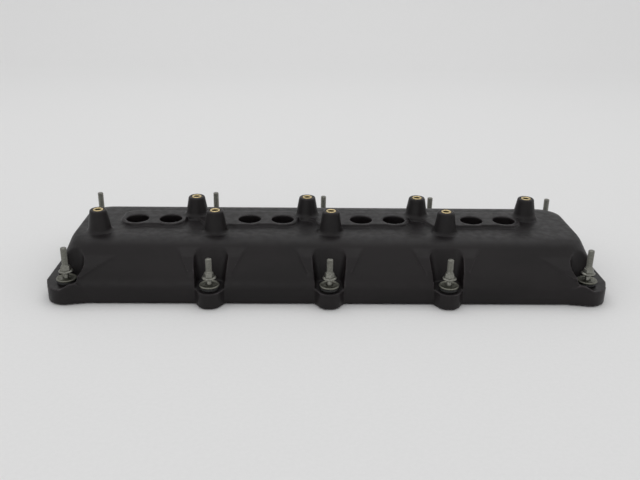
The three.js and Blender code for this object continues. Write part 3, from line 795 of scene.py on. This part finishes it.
class RC_OT_cover_shell(bpy.types.Operator):
    """Build the moulded cover with its pockets, pads, deck, wells and coil towers"""

    bl_idname = "rocker_cover.cover_shell"
    bl_label = "Cover Shell"

    def execute(self, context):
        scene = context.scene
        sizes, bays, towers = scene.rocker_body, scene.rocker_bays, scene.rocker_towers
        flange = lofted("moulded_cover", [
            rounded_ring(shell_high.x, sizes.flange_half_width, sizes.flange_corner, z, steps=12)
            for z in (shell_low.z, sizes.flange_top)
        ])
        joined = [lofted("body", body_rings(sizes))]
        for spread, heights in (
            ([side_pad(sizes, bays, stud) for stud in side_studs],
             (bays.pad_full, bays.pad_fade, bays.pad_gone)),
            ([corner_pad(sizes, bays, stud) for stud in corner_studs],
             (bays.corner_pad_full, bays.corner_pad_fade, bays.corner_pad_gone)),
        ):
            spreads = worked(spread[0], spread[1:], "UNION")
            skin = lofted("pads", pad_rings(sizes, bays.pad_rise, *heights))
            joined.append(worked(skin, [spreads], "INTERSECT"))
        joined += [ear(sizes, bays, stud) for stud in side_studs]
        joined += discs(bays.corner_ear, shell_low.z, sizes.flange_top, corner_studs, 64)
        joined += [corner_fence(sizes, bays, stud) for stud in corner_studs]
        joined += deck_tools(sizes, towers)
        joined += [tower(sizes, towers, point) for point in tower_points]
        cover = worked(flange, joined, "UNION")

        well_foot = seal_low.z
        sleeve_radius = towers.well_radius + towers.well_wall
        under_top = sizes.top_height - PAST
        kept = [side_pocket(sizes, bays, stud, sizes.wall, -PAST) for stud in side_studs]
        kept += [corner_pocket(sizes, bays, p, sizes.wall, -PAST, sizes.top_height) for p in corner_studs]
        kept += discs(sleeve_radius, well_foot, under_top, well_points, 56)
        for left, right in well_pairs():
            web = [(left.x, -sizes.wall / 2), (right.x, -sizes.wall / 2),
                   (right.x, sizes.wall / 2), (left.x, sizes.wall / 2)]
            kept.append(plate(web, well_foot, under_top))
        kept += discs(SCREW_BOSS_RADIUS, baffle_low.z + 0.0015, under_top, screw_points, 32)
        hollow = worked(lofted("hollow", hollow_rings(sizes)), kept, "DIFFERENCE")

        cuts = [hollow, gasket_band(sizes, shell_low.z - PAST, gasket_high.z + SLIP, SLIP)]
        cuts += [side_pocket(sizes, bays, stud, 0.0, sizes.flange_top) for stud in side_studs]
        cuts += [corner_pocket(sizes, bays, p, 0.0, sizes.flange_top, sizes.top_height + sizes.wall)
                 for p in corner_studs]
        cuts += discs(STUD_HOLE_RADIUS, -PAST, sizes.flange_top + PAST, stud_points)
        well_floor = well_foot - PAST
        seat_radius = sleeve_radius - 0.0015
        for p in well_points:
            cuts.append(disc(towers.well_radius, well_floor, sizes.top_height + 0.005, p.x, p.y, 56))
            cuts.append(disc(seat_radius, well_floor, well_foot + towers.seal_depth, p.x, p.y, 56))
        for p in tower_points:
            cuts.append(disc(INSERT_SEAT_RADIUS, insert_low.z - SLIP, insert_high.z + PAST, p.x, p.y))
            cuts.append(disc(INSERT_RELIEF_RADIUS, sizes.top_height + 0.004, insert_low.z, p.x, p.y, 24))
        cuts += discs(SCREW_PILOT_RADIUS, baffle_low.z, sizes.top_height - sizes.wall, screw_points, 20)
        worked(cover, cuts, "DIFFERENCE")
        moulded(cover, sizes.grain_step, sizes.softness, sizes.thinning)
        kept_inside(cover, "cover_shell")
        finished(cover, nylon_finish(scene.rocker_colours), "cover", "cover", "cover_shell")
        return {"FINISHED"}


# ---------------------------------------------------------------- studs and what holds them

def add_thread(mesh, sizes, low, high, segments=20, rows_a_turn=6):
    """A closed threaded rod with chamfered ends."""
    rows = max(2, round((high - low) / sizes.thread_pitch * rows_a_turn))
    root = sizes.thread_radius - sizes.thread_depth
    rings = []
    for row in range(rows + 1):
        z = low + (high - low) * row / rows
        limit = min(sizes.thread_radius, root + 0.0001 + min(z - low, high - z))
        points = []
        for i in range(segments):
            turn = i / segments
            phase = (z / sizes.thread_pitch - turn) % 1.0
            crest = min(1.0, max(0.0, 1.25 - 2.5 * abs(phase - 0.5)))
            radius = min(limit, root + sizes.thread_depth * crest)
            points.append(around(radius, 2 * math.pi * turn, z))
        rings.append(points)
    add_skin(mesh, rings)


def stud_mesh(sizes, tall):
    """Threaded ends, plain shank and a hexagon that flares into the collar of one stud."""
    mesh = bmesh.new()
    add_thread(mesh, sizes, 0.0, sizes.lower_thread)
    seat = sizes.seat_height
    shank = sizes.shank_radius
    add_skin(mesh, [round_ring(shank, z, 24) for z in (sizes.lower_thread - 0.0004, seat + 0.0005)])
    rim = sizes.collar_radius
    collar = [(shank, seat), (rim - 0.0006, seat), (rim - 0.0001, seat + 0.0003), (rim, seat + 0.0007),
              (rim - 0.0003, seat + 0.0011), (rim - 0.0014, seat + 0.0016), (0.0044, seat + 0.0021),
              (shank, seat + 0.0022)]
    add_skin(mesh, [round_ring(r, z, 40) for r, z in collar])
    foot = seat + 0.0014
    across = sizes.hex_flats / 2
    top = foot + sizes.hex_height
    hexagon = []
    for share, half, blunt in HEX_STATIONS:
        points = []
        for i in range(48):
            angle = 2 * math.pi * i / 48
            flat = across * half / math.cos((angle + math.pi / 6) % (math.pi / 3) - math.pi / 6)
            radius = min(flat, across * half * (1.13 - 0.13 * blunt))
            points.append(around(radius, angle, foot + (top - foot) * share))
        hexagon.append(points)
    add_skin(mesh, hexagon)
    neck = [(0.0036, top - 0.0003), (0.0034, top + 0.0005), (0.0031, top + 0.0011), (0.0028, top + 0.0016)]
    add_skin(mesh, [round_ring(r, z, 32) for r, z in neck])
    add_thread(mesh, sizes, top + 0.0008, tall)
    return mesh


class RC_OT_studs(bpy.types.Operator):
    """Build the captive studs with their threads, collars and hexagons"""

    bl_idname = "rocker_cover.studs"
    bl_label = "Studs"

    def execute(self, context):
        sizes = context.scene.rocker_studs
        material = plated_finish("zinc_plating", context.scene.rocker_colours.zinc)
        for index, name in enumerate(nodes_called("stud_")):
            low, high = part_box(name)
            at = (low + high) / 2
            made = piece("threaded_" + name, stud_mesh(sizes, high.z - low.z))
            turn = Matrix.Rotation(math.radians(37.0 * index), 4, "Z")
            made.data.transform(Matrix.Translation((at.x, at.y, low.z)) @ turn)
            finished(made, material, name, "studs", name)
        return {"FINISHED"}


class RC_OT_sleeves(bpy.types.Operator):
    """Build the flanged sleeves that limit how far the grommets are squeezed"""

    bl_idname = "rocker_cover.sleeves"
    bl_label = "Sleeves"

    def execute(self, context):
        material = plated_finish("passivated_plating", context.scene.rocker_colours.washer)
        top = sleeve_high.z
        foot = sleeve_low.z
        rim = (sleeve_high.x - sleeve_low.x) / 2 - INSIDE_BOX
        under = top - 0.0015
        profile = [
            (0.0034, foot), (0.0041, foot), (0.0044, foot + 0.0003), (0.0044, under - 0.0004),
            (0.0048, under), (rim - 0.0003, under), (rim, under + 0.0003), (rim, top - 0.0005),
            (rim - 0.0002, top - 0.0002), (rim - 0.0006, top), (rim - 0.0012, top - 0.0001),
            (rim - 0.0018, top - 0.0004), (0.0050, top - 0.0005), (0.0040, top - 0.0002),
            (0.0033, top - 0.0001), (0.00275, top - 0.0005), (0.00275, top - 0.0038),
            (0.0034, top - 0.0042),
        ]
        turned_at_nodes("sleeve_", "flanged_", profile, 48, material, "sleeves")
        return {"FINISHED"}


class RC_OT_grommets(bpy.types.Operator):
    """Build the rubber grommets between the sleeves and the cover"""

    bl_idname = "rocker_cover.grommets"
    bl_label = "Grommets"

    def execute(self, context):
        material = rubber_finish("grommet_rubber", context.scene.rocker_colours.rubber)
        floor = context.scene.rocker_body.flange_top
        foot, top = grommet_low.z, grommet_high.z
        rim = (grommet_high.x - grommet_low.x) / 2 - INSIDE_BOX
        body = 0.0077
        profile = [
            (0.0047, foot), (body - 0.0012, foot),
            (body - 0.0004, foot + 0.0004), (body - 0.0004, foot + 0.0016),
        ]
        ribs = 4
        pitch = (floor - foot - 0.004) / ribs
        for i in range(ribs):
            start = foot + 0.0018 + i * pitch
            profile += [(body - 0.0008, start), (body - 0.0001, start + pitch * 0.3),
                        (body - 0.0001, start + pitch * 0.6), (body - 0.0008, start + pitch * 0.9)]
        profile += [
            (body - 0.0003, floor - 0.0008), (body - 0.0003, floor + 0.0002), (rim - 0.0004, floor + 0.0003),
            (rim, floor + 0.0008), (rim - 0.0001, floor + 0.0018), (rim - 0.0005, top - 0.0005),
            (rim - 0.0012, top), (0.0047, top),
        ]
        turned_at_nodes("grommet_", "ribbed_", profile, 40, material, "grommets")
        return {"FINISHED"}


# ---------------------------------------------------------------- inserts, seals and gasket

class RC_OT_coil_inserts(bpy.types.Operator):
    """Build the knurled and threaded brass inserts in the coil towers"""

    bl_idname = "rocker_cover.coil_inserts"
    bl_label = "Coil Inserts"

    def execute(self, context):
        material = brass_finish(context.scene.rocker_colours)
        foot, top = insert_low.z, insert_high.z
        bore, rim = 0.0026, 0.00495
        knurl_depth, thread_depth, pitch = 0.0003, 0.00035, 0.001
        segments, rows = 48, 60

        def insert(at):
            rings = []
            outside = [(rim - 0.0006, foot), (rim - 0.0003, foot + 0.0006)]
            for groove in (0.3, 0.62):
                z = foot + (top - foot) * groove
                outside += [(rim, z - 0.0012), (rim - 0.0007, z - 0.0008), (rim - 0.0007, z + 0.0008),
                            (rim, z + 0.0012)]
            outside += [(rim, top - 0.0003), (rim - 0.0003, top), (bore + 0.0010, top),
                        (bore + 0.0003, top - 0.0007)]
            for radius, z in outside:
                knurled = foot + 0.001 < z < top - 0.001 and radius > rim - 0.0001
                points = []
                for i in range(segments):
                    reach = radius - (knurl_depth if knurled and i % 2 else 0.0)
                    points.append(around(reach, 2 * math.pi * i / segments, z, at.x, at.y))
                rings.append(points)
            for row in range(rows + 1):
                z = top - 0.0009 - (top - foot - 0.0012) * row / rows
                points = []
                for i in range(segments):
                    turn = i / segments
                    phase = (z / pitch - turn) % 1.0
                    reach = bore + thread_depth * min(1.0, 2.4 * abs(phase - 0.5))
                    points.append(around(reach, 2 * math.pi * turn, z, at.x, at.y))
                rings.append(points)
            return rings

        for name in nodes_called("coil_insert_"):
            mesh = bmesh.new()
            add_skin(mesh, insert(middle(name)), looped=True)
            finished(piece("knurled_" + name, mesh), material, "cover", "inserts", name)
        return {"FINISHED"}


class RC_OT_plug_seals(bpy.types.Operator):
    """Build the lipped seals at the feet of the plug wells"""

    bl_idname = "rocker_cover.plug_seals"
    bl_label = "Plug Seals"

    def execute(self, context):
        material = rubber_finish("seal_rubber", context.scene.rocker_colours.rubber)
        foot, top = seal_low.z, seal_high.z
        rim = (seal_high.x - seal_low.x) / 2 - INSIDE_BOX
        profile = [
            (rim - 0.0004, foot), (rim, foot + 0.0005), (rim - 0.0002, foot + 0.0022), (rim, foot + 0.0028),
            (rim - 0.0002, foot + 0.0044), (rim, foot + 0.0050), (rim, top - 0.0004), (rim - 0.0004, top),
            (0.0110, top), (0.0108, top - 0.0014), (0.0100, top - 0.0026), (0.0099, top - 0.0029),
            (0.0108, top - 0.0034), (0.0112, foot + 0.0034), (0.0100, foot + 0.0016), (0.0099, foot + 0.0012),
            (0.0107, foot + 0.0004), (0.0112, foot),
        ]
        turned_at_nodes("plug_seal_", "lipped_", profile, 56, material, "seals")
        return {"FINISHED"}


class RC_OT_gasket(bpy.types.Operator):
    """Build the moulded gasket that runs round the underside"""

    bl_idname = "rocker_cover.gasket"
    bl_label = "Gasket"

    def execute(self, context):
        sizes = context.scene.rocker_body
        band = gasket_band(sizes, gasket_low.z, gasket_high.z, 0.0)
        band.name = "beaded_gasket"
        moulded(band, GASKET_MESH_STEP, GASKET_SOFTNESS, GASKET_THINNING)
        kept_inside(band, "perimeter_gasket")
        material = rubber_finish("gasket_silicone", context.scene.rocker_colours.silicone)
        finished(band, material, "cover", "gasket", "perimeter_gasket")
        return {"FINISHED"}


# ---------------------------------------------------------------- oil baffle

class RC_OT_oil_baffle(bpy.types.Operator):
    """Build the pressed baffle tray with its ribs and drain holes"""

    bl_idname = "rocker_cover.oil_baffle"
    bl_label = "Oil Baffle"

    def execute(self, context):
        low, high = baffle_low, baffle_high
        sheet = BAFFLE_SHEET
        y = (low.y + high.y) / 2
        half_x, half_y = high.x, (high.y - low.y) / 2

        def tray_ring(inset, z):
            return rounded_ring(half_x - inset, half_y - inset, 0.008 - inset, z, 0.0, y)

        tray = lofted("pressed_baffle", [
            tray_ring(0.0016, low.z), tray_ring(0.0005, low.z + 0.0004), tray_ring(0.0, low.z + 0.0015),
            tray_ring(0.0, high.z),
        ])
        inside = lofted("inside", [
            tray_ring(0.0022, low.z + sheet), tray_ring(sheet + 0.0003, low.z + sheet + 0.0006),
            tray_ring(sheet, low.z + 0.0026), tray_ring(sheet, high.z + PAST),
        ])
        gaps = list(zip(screw_points, screw_points[1:]))
        rib_steps = ((0.0, low.z + 0.0002), (0.0004, low.z + sheet + 0.0008), (0.0014, low.z + sheet + 0.0013))
        ribs = [lofted("rib", [
            rounded_ring(0.003 - inset, half_y - 0.006 - inset, 0.0029 - inset, z, (a.x + b.x) / 2 + shift, y)
            for inset, z in rib_steps
        ]) for a, b in gaps for shift in (-0.022, 0.022)]
        under, over = low.z - PAST, low.z + 0.003
        holes = discs(BAFFLE_SCREW_HOLE, under, over, screw_points, 24)
        holes += [disc(BAFFLE_DRAIN_RADIUS, under, over, (a.x + b.x) / 2, low.y + 0.009, 32) for a, b in gaps]
        worked(tray, [inside], "DIFFERENCE")
        worked(tray, ribs, "UNION")
        worked(tray, holes, "DIFFERENCE")
        tray.data.set_sharp_from_angle(angle=math.radians(35))
        finished(tray, sheet_finish(context.scene.rocker_colours), "cover", "baffle", "oil_baffle")
        return {"FINISHED"}


class RC_OT_baffle_screws(bpy.types.Operator):
    """Build the pan-head screws that hold the baffle"""

    bl_idname = "rocker_cover.baffle_screws"
    bl_label = "Baffle Screws"

    def execute(self, context):
        material = plated_finish("screw_plating", context.scene.rocker_colours.zinc)
        low, high = screw_low, screw_high
        rim = (high.x - low.x) / 2 - INSIDE_BOX
        seat = low.z + 0.0022
        profile = [
            (0.0012, low.z + 0.0012), (0.0013, low.z + 0.0001), (rim - 0.0018, low.z),
            (rim - 0.0007, low.z + 0.0004), (rim - 0.0001, low.z + 0.0012), (rim, seat - 0.0003),
            (rim - 0.0002, seat), (0.0015, seat),
        ]
        ridges = 16
        for i in range(ridges):
            z = seat + (high.z - seat) * (i + 0.5) / (ridges + 1)
            profile.append((0.0015 if i % 2 else 0.00115, z))
        profile.append((0.0006, high.z))
        turned_at_nodes("baffle_screw_", "pan_head_", profile, 24, material, "screws", looped=False)
        return {"FINISHED"}


# ---------------------------------------------------------------- stage

def lamp(name, place, aim, size, power):
    """A soft square lamp that looks at a point."""
    light = bpy.data.lights.new(name, "AREA")
    light.shape = "RECTANGLE"
    light.size, light.size_y = size
    light.energy = power
    made = bpy.data.objects.new(name, light)
    made.location = place
    made.rotation_euler = (Vector(aim) - Vector(place)).to_track_quat("-Z", "Y").to_euler()
    bpy.context.scene.collection.objects.link(made)


class RC_OT_stage(bpy.types.Operator):
    """Set up the pale floor, the soft lamps and the camera"""

    bl_idname = "rocker_cover.stage"
    bl_label = "Stage"

    def execute(self, context):
        scene = context.scene
        scene.view_settings.view_transform = "Standard"
        mesh = bmesh.new()
        half_width, rows = 3.0, 24
        profile = [(-2.5, 0.0)] + [
            (1.2 + 0.9 * math.sin(t * math.pi / 2 / rows), 0.9 - 0.9 * math.cos(t * math.pi / 2 / rows))
            for t in range(rows + 1)
        ] + [(2.1, 3.0)]
        lines = [[mesh.verts.new((x, y, z)) for y, z in profile] for x in (-half_width, half_width)]
        for i in range(len(profile) - 1):
            mesh.faces.new((lines[0][i], lines[1][i], lines[1][i + 1], lines[0][i + 1]))
        floor = piece("studio_floor", mesh)
        floor.data.materials.append(floor_finish(scene.rocker_colours))

        world = scene.world or bpy.data.worlds.new("studio")
        scene.world = world
        world.use_nodes = True
        backdrop = world.node_tree.nodes["Background"]
        backdrop.inputs["Color"].default_value = (1.0, 1.0, 1.0, 1.0)
        backdrop.inputs["Strength"].default_value = 0.79
        lamp("overhead_lamp", place=(0.0, 0.7, 1.3), aim=(0.0, 0.3, 0.0), size=(1.8, 1.2), power=3.4)
        lamp("front_lamp", place=(-0.5, -1.5, 0.9), aim=(0.0, 0.0, 0.05), size=(1.0, 0.8), power=1.6)

        reach = 0.7842
        rise, yaw, roll = math.radians(22.0), math.radians(1.55), math.radians(0.9)
        aim_x, aim_y = -0.00725, 0.03134
        turn = Matrix.Rotation(-yaw, 4, "Z")
        place = turn @ Vector((aim_x, -reach * math.cos(rise), aim_y + reach * math.sin(rise)))
        forward = turn @ Vector((0.0, math.cos(rise), -math.sin(rise)))
        up = turn @ Vector((0.0, math.sin(rise), math.cos(rise)))
        right = forward.cross(up)
        facing = Matrix((right, up, -forward)).transposed().to_4x4()
        lens = bpy.data.cameras.new("camera")
        lens.lens = 42.75
        lens.sensor_width = 36.0
        lens.clip_start = 0.01
        camera = bpy.data.objects.new("camera", lens)
        camera.matrix_world = Matrix.Translation(place) @ facing @ Matrix.Rotation(roll, 4, "Z")
        scene.collection.objects.link(camera)
        scene.camera = camera
        return {"FINISHED"}


# ---------------------------------------------------------------- panel and registration

operators = (RC_OT_cover_shell, RC_OT_studs, RC_OT_sleeves, RC_OT_grommets, RC_OT_coil_inserts,
             RC_OT_plug_seals, RC_OT_gasket, RC_OT_oil_baffle, RC_OT_baffle_screws, RC_OT_stage)
groups = {"rocker_body": RockerBodySizes, "rocker_bays": RockerBaySizes, "rocker_towers": RockerTowerSizes,
          "rocker_studs": RockerStudSizes, "rocker_colours": RockerColours}


class RC_PT_panel(bpy.types.Panel):
    bl_idname = "RC_PT_panel"
    bl_label = "Rocker Cover"
    bl_space_type = "VIEW_3D"
    bl_region_type = "UI"
    bl_category = "Rocker Cover"

    def draw(self, context):
        layout = self.layout
        for name in groups:
            settings = getattr(context.scene, name)
            box = layout.box()
            for field in settings.__annotations__:
                box.prop(settings, field)
        for operator in operators:
            layout.operator(operator.bl_idname)


classes = (*groups.values(), *operators, RC_PT_panel)


def register():
    for kind in classes:
        bpy.utils.register_class(kind)
    for name, group in groups.items():
        setattr(bpy.types.Scene, name, PointerProperty(type=group))


def unregister():
    for name in groups:
        delattr(bpy.types.Scene, name)
    for kind in reversed(classes):
        bpy.utils.unregister_class(kind)


def main():
    register()
    bpy.ops.rocker_cover.cover_shell()
    bpy.ops.rocker_cover.studs()
    bpy.ops.rocker_cover.sleeves()
    bpy.ops.rocker_cover.grommets()
    bpy.ops.rocker_cover.coil_inserts()
    bpy.ops.rocker_cover.plug_seals()
    bpy.ops.rocker_cover.gasket()
    bpy.ops.rocker_cover.oil_baffle()
    bpy.ops.rocker_cover.baffle_screws()
    bpy.ops.rocker_cover.stage()


if __name__ == "__main__":
    main()
